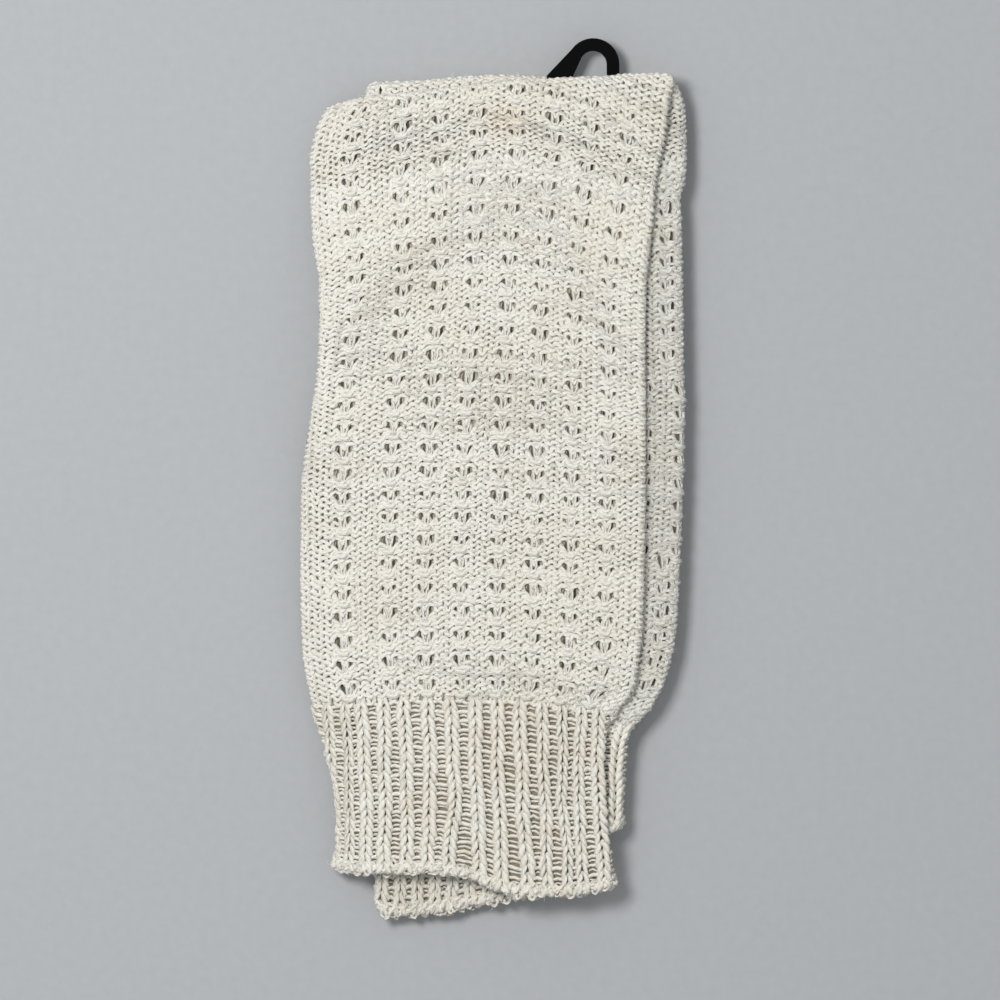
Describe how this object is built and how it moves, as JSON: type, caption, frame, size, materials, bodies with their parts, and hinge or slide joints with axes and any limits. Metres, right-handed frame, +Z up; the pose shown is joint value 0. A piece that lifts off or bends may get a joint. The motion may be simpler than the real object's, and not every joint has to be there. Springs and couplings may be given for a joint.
{
  "type": "pair of folded leg warmers with hanger hook",
  "caption": "Pair of cream knitted leg warmers with ribbed cuffs, folded once and stacked flat, with a plain black hanger hook at the fold.",
  "frame": {"origin": "middle of the footprint on the surface that the pair lies on", "axes": "+Y runs from the cuffs to the folds, +Z up from the surface, +X to the right of the folds"},
  "size_m": [0.131, 0.298, 0.0161],
  "materials": {
    "eyelet_knit": "matte cream cotton knit with a slight fuzz",
    "rib_knit": "matte cream cotton rib with a slight fuzz",
    "hook_plastic": "moulded black plastic, satin"
  },
  "bodies": {
    "root": {"front_leg_body": "eyelet_knit", "front_leg_top_cuff": "rib_knit", "front_leg_under_cuff": "rib_knit", "back_leg_body": "eyelet_knit", "back_leg_top_cuff": "rib_knit", "back_leg_under_cuff": "rib_knit", "hanger_hook": "hook_plastic"}
  },
  "joints": []
}
